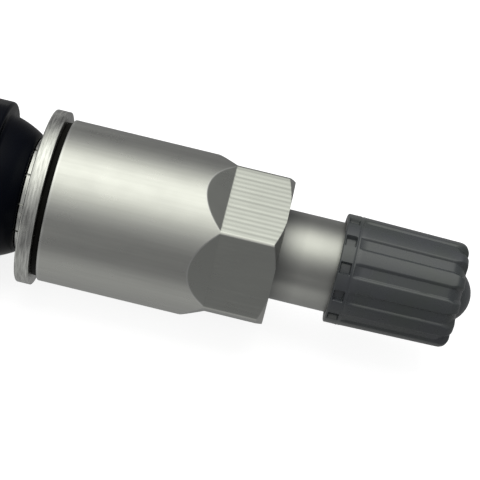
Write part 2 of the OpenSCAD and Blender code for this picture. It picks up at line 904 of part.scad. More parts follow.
// The tapered ring that seals the barrel in the stem
module core_gasket() {
    r0 = barrel_d / 2 + 0.02;
    r1 = mouth_d / 2 - 0.12;
    r2 = chamber_d / 2 - 0.02;
    color([0.85, 0.2, 0.16])
        turned()
            polygon([
                [r0, seat_x0 + 0.1], [r2 + 0.02, seat_x0 + 0.1], [r1, seat_x1 + 0.1],
                [r1, seat_x1 + 0.7], [r0, seat_x1 + 0.7]
            ]);
}

// The pin, with a collar that the spring pushes and a cup that holds the seal
module core_pin() {
    cup_x1 = barrel_x0 - core_seal_t - face_gap;
    color([0.78, 0.66, 0.38])
        turned()
            union() {
                ring_profile(0, pin_d / 2, cup_x1 - core_cup_t, tip_x - pin_depth);
                ring_profile(0, barrel_bore / 2 - 0.15, spring_x1 + face_gap, spring_x1 + face_gap + 0.4);
                ring_profile(0, barrel_d / 2 - 0.05, cup_x1 - core_cup_t, cup_x1);
            }
}

module core_seal() {
    color([0.06, 0.06, 0.06])
        turned()
            ring_profile(pin_d / 2 + 0.02, barrel_d / 2 - 0.1, barrel_x0 - core_seal_t - face_gap + eps,
                barrel_x0 - eps);
}

// A coil spring as one tube swept along a helix
module core_spring() {
    wire_r = wire_d / 2;
    coil_r = barrel_bore / 2 - wire_r - 0.12;
    x0 = spring_x0 + wire_r + 0.02;
    x1 = spring_x1 - wire_r - 0.02;
    per_turn = 16;
    sides = 6;
    rings = spring_turns * per_turn;
    pitch_rise = (x1 - x0) / rings;
    points = [
        for (i = [0 : rings], j = [0 : sides - 1])
            let (
                a = 360 * i / per_turn,
                b = 360 * j / sides,
                r = coil_r + wire_r * cos(b)
            )
            [x0 + i * pitch_rise + wire_r * sin(b), r * cos(a), r * sin(a)]
    ];
    walls = [
        for (i = [0 : rings - 1], j = [0 : sides - 1])
            let (
                k = (j + 1) % sides,
                a = i * sides,
                b = (i + 1) * sides
            )
            [a + j, a + k, b + k, b + j]
    ];
    start = [for (j = [0 : sides - 1]) sides - 1 - j];
    finish = [for (j = [0 : sides - 1]) rings * sides + j];
    color([0.7, 0.7, 0.72])
        polyhedron(points, concat(walls, [start, finish]), convexity = 10);
}

housing();
base_cover();
circuit_board();
coin_cell();
cell_top_tab();
cell_bottom_tab();
sensor_chip();
port_gasket();
coil_core();
coil_winding();
antenna();
crystal();
capacitors();
clamp_screw();
valve_stem();
rubber_grommet();
rim_washer();
friction_ring();
collar_nut();
valve_cap();
cap_seal();
core_plug();
core_barrel();
core_gasket();
core_pin();
core_seal();
core_spring();
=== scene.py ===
"""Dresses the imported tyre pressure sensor.

Detailed meshes stand for the turned metal, the rubber and the plastic, and every piece has a node material.
A softbox over a pale floor lights it, a graded dome gives the metal its reflections, and the camera stands
where the photograph was taken from.

Lengths are in millimetres, apart from those of the lamp and the stage, which are in metres. Angles round the
valve's axis are counted from the front (-Y) upwards, in degrees.
"""

import json
import math

import bpy
import numpy as np
from mathutils import Matrix, Vector

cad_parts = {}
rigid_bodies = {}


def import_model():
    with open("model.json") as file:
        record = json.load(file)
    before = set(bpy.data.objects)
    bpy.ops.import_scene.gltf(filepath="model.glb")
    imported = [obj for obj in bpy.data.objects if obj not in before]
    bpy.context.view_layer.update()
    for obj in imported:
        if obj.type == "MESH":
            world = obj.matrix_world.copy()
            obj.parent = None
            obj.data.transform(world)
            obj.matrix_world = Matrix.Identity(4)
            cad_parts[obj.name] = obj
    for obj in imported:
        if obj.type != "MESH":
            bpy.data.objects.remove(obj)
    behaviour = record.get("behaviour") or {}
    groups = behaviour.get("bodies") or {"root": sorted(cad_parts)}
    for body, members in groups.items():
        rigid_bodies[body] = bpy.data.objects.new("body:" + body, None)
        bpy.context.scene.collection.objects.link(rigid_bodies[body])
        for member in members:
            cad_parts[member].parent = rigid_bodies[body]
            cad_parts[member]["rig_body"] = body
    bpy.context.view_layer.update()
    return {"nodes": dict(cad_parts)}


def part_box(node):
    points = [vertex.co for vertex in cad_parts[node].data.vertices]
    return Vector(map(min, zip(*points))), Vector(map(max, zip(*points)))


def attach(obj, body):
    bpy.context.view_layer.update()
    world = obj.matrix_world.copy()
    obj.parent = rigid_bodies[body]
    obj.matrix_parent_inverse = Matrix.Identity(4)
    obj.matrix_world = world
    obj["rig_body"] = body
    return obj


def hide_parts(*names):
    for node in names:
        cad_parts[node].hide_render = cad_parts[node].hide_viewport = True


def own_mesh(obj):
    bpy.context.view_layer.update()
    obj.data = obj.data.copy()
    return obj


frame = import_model()
nodes = frame["nodes"]
MM = 0.001


def node_box(node):
    """Lowest and highest corner of a node, in mm."""
    return [np.array(corner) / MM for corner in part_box(node)]


def extent(node, axis="X"):
    """Where a node starts and ends along an axis, in mm."""
    return [round(float(corner["XYZ".index(axis)]), 3) for corner in node_box(node)]


def outer_radius(node):
    """Radius of a node that is round about the valve's axis, in mm."""
    return max(abs(edge) for axis in "YZ" for edge in extent(node, axis))


# Where the pieces start and end along the valve. The washer's face lies at the origin, on the rim.
WASHER_X = (0.0, extent("rim_washer")[1])
RING_X = extent("friction_ring")
NUT_X = extent("collar_nut")
BASE_Z = extent("housing", "Z")[0]

# The nut's hexagon: half its width, the lengths and first stations of flats and slopes, and its angles
SIDES = 6
NUT_R = outer_radius("collar_nut")
FLAT_R = 7.0
FLAT_LENGTH = 5.8
SLOPE_LENGTH = 2.15
FLATS_X = NUT_X[1] - FLAT_LENGTH
SLOPE_X = FLATS_X - SLOPE_LENGTH
HEX_CLOCK = 18.2
HEX_PITCH = 360 / SIDES

# The cap: its stations, the radii of its tapered wall, its flutes, and the roundings of rib and flute ends
SKIRT_LENGTH = 1.45
DOME_HEIGHT = 1.26
CAP_START_X, DOME_TIP_X = extent("valve_cap")
CAP_X = (CAP_START_X, round(DOME_TIP_X - DOME_HEIGHT, 3))
SKIRT_END_X = CAP_X[0] + SKIRT_LENGTH
CAP_R = (outer_radius("valve_cap"), 5.22)
FLUTES = 12
FLUTE_CLOCK = 15.4
FLUTE_PITCH = 360 / FLUTES
END_ROUND = 0.9
FLUTE_ROUND = 1.5


# Mesh tools
def ring(angles, x, r):
    """Points round the valve's axis at the given angles, in mm."""
    a = np.radians(angles)
    x, r = np.broadcast_to(x, a.shape), np.broadcast_to(r, a.shape)
    return np.stack([x, -r * np.cos(a), r * np.sin(a)], axis=1)


def skin(rings, closed):
    """Points and faces of a surface over rings of equal length. A ring with no size is a pole."""
    point_size = 1e-6
    points, faces, first = [], [], []
    n = len(rings[0])
    for one in rings:
        pole = np.ptp(one, axis=0).max() < point_size
        first.append((len(points), pole))
        points.extend(one[:1] if pole else one)
    pairs = list(zip(first, first[1:]))
    if closed:
        pairs.append((first[-1], first[0]))
    for (a, a_pole), (b, b_pole) in pairs:
        if a_pole and b_pole:
            continue
        for j in range(n):
            k = (j + 1) % n
            if a_pole:
                faces.append((a, b + j, b + k))
            elif b_pole:
                faces.append((a + j, b, a + k))
            else:
                faces.append((a + j, b + j, b + k, a + k))
    return np.array(points), faces


def make_mesh(name, points, faces):
    """A mesh from points in mm, with its faces turned outwards."""
    mesh = bpy.data.meshes.new(name)
    mesh.from_pydata((np.asarray(points) * MM).tolist(), [], faces)
    volume = sum(
        mesh.vertices[p.vertices[0]].co.dot(
            mesh.vertices[p.vertices[1]].co.cross(mesh.vertices[p.vertices[2]].co))
        for p in mesh.polygons)
    if volume < 0:
        mesh.flip_normals()
    return mesh


def add_piece(name, mesh, node, material, sharp=40):
    """A smooth mesh piece that stands for a CAD node and rides on its body."""
    mesh.polygons.foreach_set("use_smooth", [True] * len(mesh.polygons))
    mesh.set_sharp_from_angle(angle=math.radians(sharp))
    mesh.materials.clear()
    mesh.materials.append(material)
    piece = bpy.data.objects.new(name, mesh)
    bpy.context.scene.collection.objects.link(piece)
    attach(piece, nodes[node]["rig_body"])
    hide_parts(node)
    return piece


def with_modifiers(mesh, *modifiers):
    """The mesh that results from modifiers, each given as its type and its settings."""
    holder = bpy.data.objects.new("holder", mesh)
    bpy.context.scene.collection.objects.link(holder)
    for kind, settings in modifiers:
        modifier = holder.modifiers.new(kind.lower(), kind)
        for key, value in settings.items():
            setattr(modifier, key, value)
    bpy.context.view_layer.update()
    evaluated = holder.evaluated_get(bpy.context.evaluated_depsgraph_get())
    result = bpy.data.meshes.new_from_object(evaluated)
    bpy.data.objects.remove(holder)
    return result


def drilled(mesh, radius, start, end):
    """The mesh with a round hole of that radius from start to end, in mm."""
    segments = 48
    start, end = Vector(start), Vector(end)
    turn = (end - start).to_track_quat("Z", "Y")
    sides = [2 * math.pi * k / segments for k in range(segments)]
    points = [start + turn @ Vector((radius * math.cos(a), radius * math.sin(a), z))
              for z in (0, (end - start).length) for a in sides]
    walls = []
    for k in range(segments):
        after = (k + 1) % segments
        walls.append((k, after, segments + after, segments + k))
    caps = [tuple(reversed(range(segments))), tuple(range(segments, 2 * segments))]
    cutter = bpy.data.objects.new("cutter", make_mesh("cutter", points, walls + caps))
    bpy.context.scene.collection.objects.link(cutter)
    cut = {"object": cutter, "operation": "DIFFERENCE", "solver": "EXACT"}
    result = with_modifiers(mesh, ("BOOLEAN", cut))
    bpy.data.objects.remove(cutter)
    return result


def rounded(corners, steps=4):
    """A path through corners (radius, x, rounding), each corner rounded with its own radius."""
    path = []
    count = len(corners)
    for i, (r, x, fillet) in enumerate(corners):
        here = np.array([r, x], float)
        if fillet <= 0:
            path.append(here)
            continue
        before = np.array(corners[i - 1][:2], float) - here
        after = np.array(corners[(i + 1) % count][:2], float) - here
        before /= np.linalg.norm(before)
        after /= np.linalg.norm(after)
        half = math.acos(np.clip(before @ after, -1, 1)) / 2
        reach = fillet / math.tan(half)
        bisector = before + after
        centre = here + bisector / np.linalg.norm(bisector) * fillet / math.sin(half)
        start, end = here + before * reach - centre, here + after * reach - centre
        turn = math.acos(np.clip(start @ end / fillet ** 2, -1, 1))
        for k in range(steps + 1):
            t = k / steps
            arm = math.sin((1 - t) * turn) * start + math.sin(t * turn) * end
            path.append(centre + arm / math.sin(turn))
    return np.array(path)


def revolve(corners, segments=160, steps=4):
    """Points and faces of a closed, rounded profile turned about the valve's axis."""
    angles = np.arange(segments) * 360 / segments
    return skin([ring(angles, x, r) for r, x in rounded(corners, steps)], True)


def span(a, b, step):
    """Evenly spaced stations from a to b, about step apart."""
    return np.linspace(a, b, max(2, int(math.ceil((b - a) / step)) + 1))


def soft_min(a, b, blend):
    """The lesser of a and b, with the edge between them rounded over about that blend."""
    h = np.clip(0.5 + 0.5 * (b - a) / blend, 0, 1)
    return b + (a - b) * h - blend * h * (1 - h)


# Materials
TURNED = (14, 0.15, 0.15)
CLOUDY = (0.35, 0.5, 0.5)


class Paint:
    """A node material built round one Principled shader."""

    NOISE_RANGE = (0.3, 0.7)

    def __init__(self, name, color, rough, metallic=0.0, specular=0.5, coat=0.0):
        self.material = bpy.data.materials.new(name)
        self.material.use_nodes = True
        self.tree = self.material.node_tree
        self.shader = self.tree.nodes["Principled BSDF"]
        self.color, self.rough = color, rough
        self.set("Base Color", (*color, 1))
        self.set("Roughness", rough)
        self.set("Metallic", metallic)
        self.set("Specular IOR Level", specular)
        self.set("Coat Weight", coat)
        self.coords = self.add("ShaderNodeTexCoord").outputs["Object"]
        self.normal = None

    def add(self, kind, **values):
        node = self.tree.nodes.new(kind)
        for key, value in values.items():
            setattr(node, key, value)
        return node

    def set(self, socket, value):
        self.shader.inputs[socket].default_value = value

    def link(self, out, into):
        self.tree.links.new(out, into)

    def noise(self, stretch, detail=3.0, rough=0.55):
        """Noise with that many cells per millimetre along X, Y and Z."""
        mapping = self.add("ShaderNodeMapping")
        mapping.inputs["Scale"].default_value = [s / MM for s in stretch]
        self.link(self.coords, mapping.inputs["Vector"])
        noise = self.add("ShaderNodeTexNoise")
        noise.inputs["Scale"].default_value = 1.0
        noise.inputs["Detail"].default_value = detail
        noise.inputs["Roughness"].default_value = rough
        self.link(mapping.outputs["Vector"], noise.inputs["Vector"])
        return noise.outputs["Fac"]

    def attribute(self, name):
        """A number that each point of the mesh carries."""
        return self.add("ShaderNodeAttribute", attribute_name=name).outputs["Fac"]

    def along(self, start, end):
        """1 up to the start station along X, in mm, falling to 0 at the end."""
        parts = self.add("ShaderNodeSeparateXYZ")
        self.link(self.coords, parts.inputs["Vector"])
        return self.remap(parts.outputs["X"], start * MM, end * MM, 1, 0)

    def blend(self, factor, color):
        """Base colour that goes over to another one where the factor is 1."""
        mix = self.add("ShaderNodeMix", data_type="RGBA")
        base = self.shader.inputs["Base Color"]
        self.link(base.links[0].from_socket, mix.inputs["A"])
        mix.inputs["B"].default_value = (*color, 1)
        self.link(factor, mix.inputs["Factor"])
        self.link(mix.outputs["Result"], base)
        return self

    def remap(self, value, low, high, to_low, to_high):
        node = self.add("ShaderNodeMapRange")
        ends = {"From Min": low, "From Max": high, "To Min": to_low, "To Max": to_high}
        for key, number in ends.items():
            node.inputs[key].default_value = number
        self.link(value, node.inputs["Value"])
        return node.outputs["Result"]

    def tint(self, value, dark, light):
        """Base colour that runs between two multiples of the plain one, each a number or one per channel."""
        mix = self.add("ShaderNodeMix", data_type="RGBA")
        for socket, factor in (("A", dark), ("B", light)):
            mix.inputs[socket].default_value = (*(np.array(self.color) * factor), 1)
        self.link(self.remap(value, *self.NOISE_RANGE, 0, 1), mix.inputs["Factor"])
        self.link(mix.outputs["Result"], self.shader.inputs["Base Color"])
        return self

    def roughen(self, value, spread):
        """Roughness that runs by that spread to both sides of the plain one."""
        varied = self.remap(value, *self.NOISE_RANGE, self.rough - spread, self.rough + spread)
        self.link(varied, self.shader.inputs["Roughness"])
        return self

    def bump(self, value, depth):
        """Relief of the given depth in mm; several add up."""
        node = self.add("ShaderNodeBump")
        node.inputs["Distance"].default_value = depth * MM
        node.inputs["Strength"].default_value = 1.0
        self.link(value, node.inputs["Height"])
        if self.normal:
            self.link(self.normal, node.inputs["Normal"])
        self.normal = node.outputs["Normal"]
        self.link(self.normal, self.shader.inputs["Normal"])
        return self


def turned_metal(name, color, rough, lines=0.0004):
    """Metal turned on a lathe: fine rings round X, a satin grain and a slow change of tone."""
    paint = Paint(name, color, rough, metallic=1.0)
    rings = paint.noise(TURNED, detail=4)
    grain = paint.noise((9, 9, 9), detail=2)
    cloud = paint.noise(CLOUDY)
    paint.tint(cloud, 0.96, 1.03).roughen(rings, 0.03)
    return paint.bump(rings, lines).bump(grain, 0.0006).material


def moulded(name, color, rough, grain=0.004, cells=5, specular=0.5, spread=0.05, coat=0.0,
            tints=(0.85, 1.15)):
    """Moulded plastic or rubber with a fine grain."""
    paint = Paint(name, color, rough, specular=specular, coat=coat)
    fine = paint.noise((cells, cells, cells))
    cloud = paint.noise((0.3, 0.3, 0.3))
    paint.set("Coat Roughness", 0.12)
    return paint.tint(cloud, *tints).roughen(cloud, spread).bump(fine, grain).material


def washer_metal():
    """Dull metal with streaks of grime and wear, mottled in tone."""
    paint = Paint("washer_dull", (0.70, 0.705, 0.68), 0.27, metallic=1.0)
    streaks = paint.noise((5, 0.45, 0.45), rough=0.65)
    lines = paint.noise((16, 0.2, 0.2), detail=4)
    paint.tint(streaks, 0.5, 1.2).roughen(streaks, 0.08)
    return paint.bump(lines, 0.002).bump(streaks, 0.002).material


def nut_metal():
    """Drawn bar with faint streaks along it, duller on the milled faces and with a painted highlight along
    the edges.
    """
    paint = Paint("nut_satin", (0.60, 0.605, 0.578), 0.30, metallic=1.0)
    drawn = paint.noise((0.1, 3, 3), detail=4)
    cloud = paint.noise((0.4, 0.6, 0.6))
    paint.tint(drawn, 0.96, 1.035).roughen(cloud, 0.035)
    paint.blend(paint.attribute("milled"), (0.503, 0.515, 0.487))
    # Painted highlight: a lighter colour where the edge layer is set, along the slopes' edges and round the
    # left rim.
    return paint.blend(paint.attribute("edge"), (0.76, 0.765, 0.75)).material


def stem_metal():
    """Turned metal whose fine grooves spread its reflections along the axis, with painted shade close to the
    nut.
    """
    paint = Paint("stem_bright", (0.61, 0.616, 0.585), 0.36, metallic=1.0)
    paint.set("Anisotropic", 0.84)
    paint.set("Anisotropic Rotation", 0.25)
    tangent = paint.add("ShaderNodeTangent", direction_type="RADIAL", axis="X")
    paint.link(tangent.outputs["Tangent"], paint.shader.inputs["Tangent"])
    cloud = paint.noise(CLOUDY)
    rings = paint.noise(TURNED, detail=4)
    paint.tint(cloud, 0.95, 1.04).roughen(rings, 0.02).bump(rings, 0.0003)
    # Painted shade: the base colour darkens towards the nut, standing in for the nut's shadow and dark
    # reflection on the stem.
    shade_gap, fade = 0.2, 2.1
    nut_shade = paint.along(NUT_X[1] + shade_gap, NUT_X[1] + shade_gap + fade)
    return paint.blend(nut_shade, (0.36, 0.365, 0.355)).material


NUT = nut_metal()
STEM = stem_metal()
WASHER = washer_metal()
BRASS = turned_metal("core_brass", (0.62, 0.44, 0.17), 0.3)
STEEL = turned_metal("zinc_steel", (0.42, 0.43, 0.45), 0.32)
STRIP = turned_metal("tinned_strip", (0.6, 0.58, 0.52), 0.3, lines=0.0005)
COPPER = turned_metal("enamelled_copper", (0.62, 0.26, 0.11), 0.28)
NICKEL = turned_metal("nickel_can", (0.62, 0.62, 0.63), 0.3, lines=0.0005)
RUBBER = moulded("grommet_rubber", (0.0010, 0.0017, 0.0045), 0.26, grain=0.001, specular=0.09)
RING = moulded("ring_black", (0.004, 0.004, 0.003), 0.6, specular=0.12)
SEAL = moulded("seal_black", (0.02, 0.02, 0.02), 0.6, specular=0.3)
RED_RUBBER = moulded("gasket_red", (0.4, 0.04, 0.03), 0.5)
NYLON = moulded("housing_nylon", (0.018, 0.018, 0.020), 0.48, grain=0.012, cells=3, specular=0.4)
COVER = moulded("cover_nylon", (0.025, 0.025, 0.028), 0.5, grain=0.012, cells=3, specular=0.4)
LAMINATE = moulded("board_green", (0.015, 0.1, 0.05), 0.3, grain=0.001, coat=0.4)
RESIN = moulded("chip_resin", (0.025, 0.025, 0.027), 0.55)
FERRITE = moulded("ferrite", (0.05, 0.048, 0.046), 0.6)
CERAMIC = moulded("ceramic", (0.42, 0.29, 0.17), 0.5)
CAP = moulded("cap_smoke", (0.045, 0.049, 0.05), 0.26, grain=0.001, specular=0.6, spread=0.06, coat=0.35,
              tints=((0.95, 1.02, 0.92), (0.95, 0.95, 1.08)))

PLAIN = {
    "base_cover": COVER, "circuit_board": LAMINATE, "coin_cell": NICKEL, "cell_top_tab": STRIP,
    "cell_bottom_tab": STRIP, "sensor_chip": RESIN, "port_gasket": RED_RUBBER, "coil_core": FERRITE,
    "coil_winding": COPPER, "antenna": STRIP, "crystal": NICKEL, "capacitors": CERAMIC, "clamp_screw": STEEL,
    "cap_seal": SEAL, "core_plug": BRASS, "core_barrel": BRASS, "core_gasket": RED_RUBBER, "core_pin": BRASS,
    "core_seal": SEAL, "core_spring": STEEL, "housing": NYLON,
}
for node, material in PLAIN.items():
    mesh = nodes[node].data
    mesh.materials.clear()
    mesh.materials.append(material)


# Collar nut
def nut_radius(angles, x):
    """Outer radius of the nut at station x, how far it is milled there, and how much painted highlight its
    edges get.

    Six ridged flats take up the right-hand part, and slopes lead to them.
    """
    edge, chamfer, end_r, chamfer_blend = 0.09, 0.6, FLAT_R + 0.1, 0.05
    reach = np.clip((NUT_X[0] + edge - x) / edge, 0, 1)
    body = NUT_R - edge * (1 - math.sqrt(1 - reach ** 2))
    cone = NUT_R + (end_r - NUT_R) * (x - NUT_X[1] + chamfer) / chamfer
    body = soft_min(body, cone, chamfer_blend)

    off = np.radians((angles - HEX_CLOCK + HEX_PITCH / 2) % HEX_PITCH - HEX_PITCH / 2)
    slope = FLAT_R + (FLATS_X - x) * (NUT_R - FLAT_R) / (FLATS_X - SLOPE_X)
    across = FLAT_R * np.tan(off)
    pitch, ridge, spread, run_in = 0.505, 0.012, 0.45, 0.12
    number = np.floor(across / pitch)
    flat = np.round((angles - HEX_CLOCK) / HEX_PITCH)
    ridge_step, flat_step = 2.7, 1.3
    depth = ridge * (1 + spread * np.sin(ridge_step * number + flat_step * flat))
    on_flat = np.clip((x - FLATS_X) / run_in, 0, 1)
    face = FLAT_R - on_flat * depth * np.sin(math.pi * across / pitch) ** 2
    wall = np.maximum(face, slope) / np.cos(off)

    fade, wall_blend, rim, rim_highlight = 0.03, 0.035, 0.25, 0.55
    milled = np.clip(0.5 + (body - wall) / fade, 0, 1)
    # Painted highlight: a light band where the round body meets the slopes, and round the left rim.
    edge_highlight = np.exp(-((body - wall) / fade) ** 2) * (x < FLATS_X - 0.1)
    edge_highlight = np.maximum(edge_highlight, rim_highlight * (x < NUT_X[0] + rim))
    return soft_min(np.full(angles.shape, body), wall, wall_blend), milled, edge_highlight


def build_nut():
    """The nut, with rings of points that stand close where its form changes."""
    per_flat = 96
    across = np.linspace(-1, 1, per_flat, endpoint=False)
    local = np.degrees(np.arctan(across * math.tan(math.radians(HEX_PITCH / 2))))
    angles = np.concatenate([HEX_CLOCK + HEX_PITCH * k + local for k in range(SIDES)])
    stations = np.concatenate([
        NUT_X[0] + np.array([0, 0.003, 0.01, 0.025, 0.05, 0.09, 0.2, 0.3]),
        span(NUT_X[0] + 0.6, SLOPE_X - 0.1, 1.6), span(SLOPE_X - 0.04, FLATS_X + 0.14, 0.05),
        span(FLATS_X + 0.5, NUT_X[1] - 0.75, 0.8), span(NUT_X[1] - 0.66, NUT_X[1], 0.05)])
    outside = [nut_radius(angles, x) for x in stations]
    rings = [ring(angles, x, r) for x, (r, _, _) in zip(stations, outside)]
    start, end = NUT_X
    lip_r, bore, seat = 4.65, 5.05, start + 0.02
    inner = [
        (6.95, end), (6.3, end), (5.6, end), (lip_r + 0.3, end), (lip_r + 0.1, end - 0.08),
        (lip_r, end - 0.25), (lip_r, end - 2.3), (bore, end - 2.6), (bore, start + 0.6),
        (bore + 0.1, start + 0.4), (6.3, seat), (7.2, seat), (7.7, seat)]
    rings += [ring(angles, x, r) for r, x in inner]
    mesh = make_mesh("nut_dressed", *skin(rings, True))
    # The edge layer carries the painted highlight.
    for name, column in (("milled", 1), ("edge", 2)):
        values = np.zeros(len(mesh.vertices))
        shown = np.concatenate([one[column] for one in outside])
        values[:len(shown)] = shown
        mesh.attributes.new(name, "FLOAT", "POINT").data.foreach_set("value", values)
    add_piece("nut_dressed", mesh, "collar_nut", NUT, sharp=30)


# Rim washer and friction ring
def build_washer():
    """The washer, with the slit collar that centres it in the rim's hole."""
    slits, clock, half, flank = 12, 1.5, 1.05, 0.12
    pitch = 360 / slits
    local = np.concatenate([[-half - flank, -half, 0, half, half + flank], np.linspace(2.5, 27.5, 11)])
    angles = np.concatenate([clock + pitch * k + local for k in range(slits)])
    off = (angles - clock + pitch / 2) % pitch - pitch / 2
    cut = np.abs(off) <= half + 0.01
    bore, collar, floor, cut_start = 5.1, 5.6, 5.3, -0.04
    r, collar_end = outer_radius("rim_washer"), extent("rim_washer")[0]
    profile = rounded([
        (bore, WASHER_X[1], 0.1), (r, WASHER_X[1], 0.05), (r, WASHER_X[0], 0.16), (collar, WASHER_X[0], 0.05),
        (collar, collar_end, 0.12), (bore, collar_end, 0.08)], 5)
    rings = []
    for radius, x in profile:
        wall = np.full(angles.shape, radius)
        if x < cut_start:
            wall = np.where(cut, np.minimum(wall, floor), wall)
        rings.append(ring(angles, x, wall))
    mesh = make_mesh("washer_dressed", *skin(rings, True))
    add_piece("washer_dressed", mesh, "rim_washer", WASHER, sharp=35)


def build_ring():
    bore, fillet = 5.15, 0.12
    r = outer_radius("friction_ring")
    start, end = RING_X
    profile = [(bore, start, 0.0), (r, start, fillet), (r, end, fillet), (bore, end, 0.0)]
    add_piece("ring_dressed", make_mesh("ring_dressed", *revolve(profile)), "friction_ring", RING)


# Rubber grommet
def build_grommet():
    """The flange inside the rim and the bulged nose, an arc, that is squeezed into the rim's hole."""
    bore, flange_t, root_r, tip_r, bulge = 5.06, 2.3, 7.1, 5.8, 9.0
    r = outer_radius("rubber_grommet")
    start, end = extent("rubber_grommet")
    flange_x = start + flange_t
    root, tip = np.array([root_r, flange_x]), np.array([tip_r, end + 0.05])
    chord = tip - root
    length = np.linalg.norm(chord)
    inward = np.array([-chord[1], chord[0]]) / length
    centre = (root + tip) / 2 + inward * math.sqrt(bulge ** 2 - (length / 2) ** 2)
    nose = []
    for x in span(flange_x + 0.25, end - 0.15, 0.12):
        nose.append((centre[0] + math.sqrt(bulge ** 2 - (x - centre[1]) ** 2), x, 0.0))
    corners = [(bore, start, 0.05), (r, start, 0.5), (r, flange_x, 0.35), (root_r + 0.15, flange_x, 0.0),
               (root_r + 0.06, flange_x + 0.07, 0.0)]
    corners += nose + [(tip_r - 0.08, end - 0.03, 0.0), (tip_r - 0.2, end, 0.0), (bore, end, 0.05)]
    mesh = make_mesh("grommet_dressed", *revolve(corners, 180, 8))
    add_piece("grommet_dressed", mesh, "rubber_grommet", RUBBER, sharp=50)


# Valve stem
def thread_radius(angles, x, crest, depth, pitch):
    """Radius of a right-hand thread with a rounded V, at station x."""
    phase = (x / pitch - angles / 360) % 1
    return crest - depth * (0.5 - 0.5 * np.cos(2 * math.pi * phase)) ** 0.8


def build_stem():
    """Ball foot, metal foot, threads and bores in one turned piece, with its cross hole and screw hole."""
    ball_x, ball_r, ball_turn = -12.75, 5.0, math.radians(134)
    cross_hole_x, cross_hole_r, screw_hole_r = -8.3, 0.65, 2.0
    neck_r, foot_x, foot_t, smooth_r, shoulder_x, core_r, bore = 3.6, -7.35, 1.0, 4.45, 31.0, 2.7, 1.2
    nut_thread = {"crest": 4.98, "depth": 0.4, "pitch": 0.75}
    cap_thread = {"crest": 3.86, "depth": 0.38, "pitch": 0.794}
    r, end, foot_end = outer_radius("valve_stem"), extent("valve_stem")[1], foot_x + foot_t
    angles = np.arange(120) * 3.0
    ball = [(ball_r * math.sin(t), ball_x - ball_r * math.cos(t)) for t in np.linspace(0, ball_turn, 28)]
    foot = [(neck_r, -9.0), (neck_r, foot_x - 0.1), (3.65, foot_x - 0.03), (3.8, foot_x), (r - 0.3, foot_x),
            (r - 0.1, foot_x + 0.05), (r, foot_x + 0.2), (r, foot_end - 0.1), (r - 0.08, foot_end),
            (5.2, foot_end), (4.95, foot_end + 0.05)]
    smooth = [(smooth_r + 0.05, 20.8), (smooth_r, 21.0), (smooth_r, 24.0), (smooth_r, 27.0),
              (smooth_r, shoulder_x - 0.3), (smooth_r - 0.05, shoulder_x - 0.15),
              (smooth_r - 0.15, shoulder_x - 0.07), (smooth_r - 0.3, shoulder_x), (3.6, shoulder_x + 0.05)]
    mouth = [(3.5, end - 0.25), (3.3, end - 0.05), (3.15, end), (2.85, end), (core_r + 0.02, end - 0.08),
             (core_r, end - 0.25), (core_r, 31.75), (2.1, 30.75), (2.1, 22.75), (bore, 22.15), (bore, -8.95),
             (0, -8.95)]
    rings = [ring(angles, x, r) for r, x in ball + foot]
    rings += [ring(angles, x, thread_radius(angles, x, **nut_thread)) for x in span(-6.1, 20.5, 0.107)]
    rings += [ring(angles, x, r) for r, x in smooth]
    rings += [ring(angles, x, thread_radius(angles, x, **cap_thread)) for x in span(31.2, 38.9, 0.1)]
    rings += [ring(angles, x, r) for r, x in mouth]
    mesh = make_mesh("stem_dressed", *skin(rings, False))
    mesh = drilled(mesh, cross_hole_r, (cross_hole_x, 0, -5), (cross_hole_x, 0, 5))
    mesh = drilled(mesh, screw_hole_r, (-19, 0, 0), (-11.65, 0, 0))
    add_piece("stem_dressed", mesh, "valve_stem", STEM, sharp=45)


# Cap
def cap_skin(x):
    """Radius of the cap's tapered wall at station x."""
    share = (x - SKIRT_END_X) / (CAP_X[1] - END_ROUND - SKIRT_END_X)
    return CAP_R[0] - (CAP_R[0] - CAP_R[1]) * np.clip(share, 0, 1)


def rolled_over(x, wall_r, fillet):
    """Radius at station x of a wall that rolls over the cap's closed end with that fillet."""
    past = np.clip(x - (CAP_X[1] - fillet), 0, fillet)
    return wall_r - fillet + math.sqrt(fillet ** 2 - past ** 2)


def fluted(angles, x):
    """Outer radius of the cap at station x, with softly edged flutes that notch the closed end."""
    depth, width, lean, steep, edge, scoop, run_in = 0.22, 1.5, 1.1, 0.35, 0.12, 0.34, 0.35
    off = np.radians((angles - FLUTE_CLOCK + FLUTE_PITCH / 2) % FLUTE_PITCH - FLUTE_PITCH / 2)
    at_end = np.clip((x - (CAP_X[1] - FLUTE_ROUND)) / FLUTE_ROUND, 0, 1)
    floor = rolled_over(x, cap_skin(x) - depth, FLUTE_ROUND) - scoop * at_end ** 2
    flare = lean + (steep - lean) * at_end
    half_floor = width / 2 - lean * depth
    across = np.abs(np.tan(off)) * cap_skin(x)
    wall = (floor + np.maximum(0, across - half_floor) / flare) / np.cos(off)
    wall = wall + depth * (1 - np.clip((x - SKIRT_END_X) / run_in, 0, 1))
    body = rolled_over(x, cap_skin(x), END_ROUND)
    return soft_min(np.full(angles.shape, body), wall, edge)


def pocketed(angles, wall, x):
    """The skirt's wall with its small pockets, one below each flute."""
    off = np.abs((angles - FLUTE_CLOCK + FLUTE_PITCH / 2) % FLUTE_PITCH - FLUTE_PITCH / 2)
    half, flank, depth = math.degrees(0.6 / CAP_R[0]), 1.6, 0.42
    start, end, end_flank = 0.2, 1.25, 0.1
    side = np.clip((half - off) / flank, 0, 1)
    past_start = np.clip((x - CAP_X[0] - start) / end_flank, 0, 1)
    before_end = np.clip((CAP_X[0] + end - x) / end_flank, 0, 1)
    return wall - depth * side * (past_start * before_end)


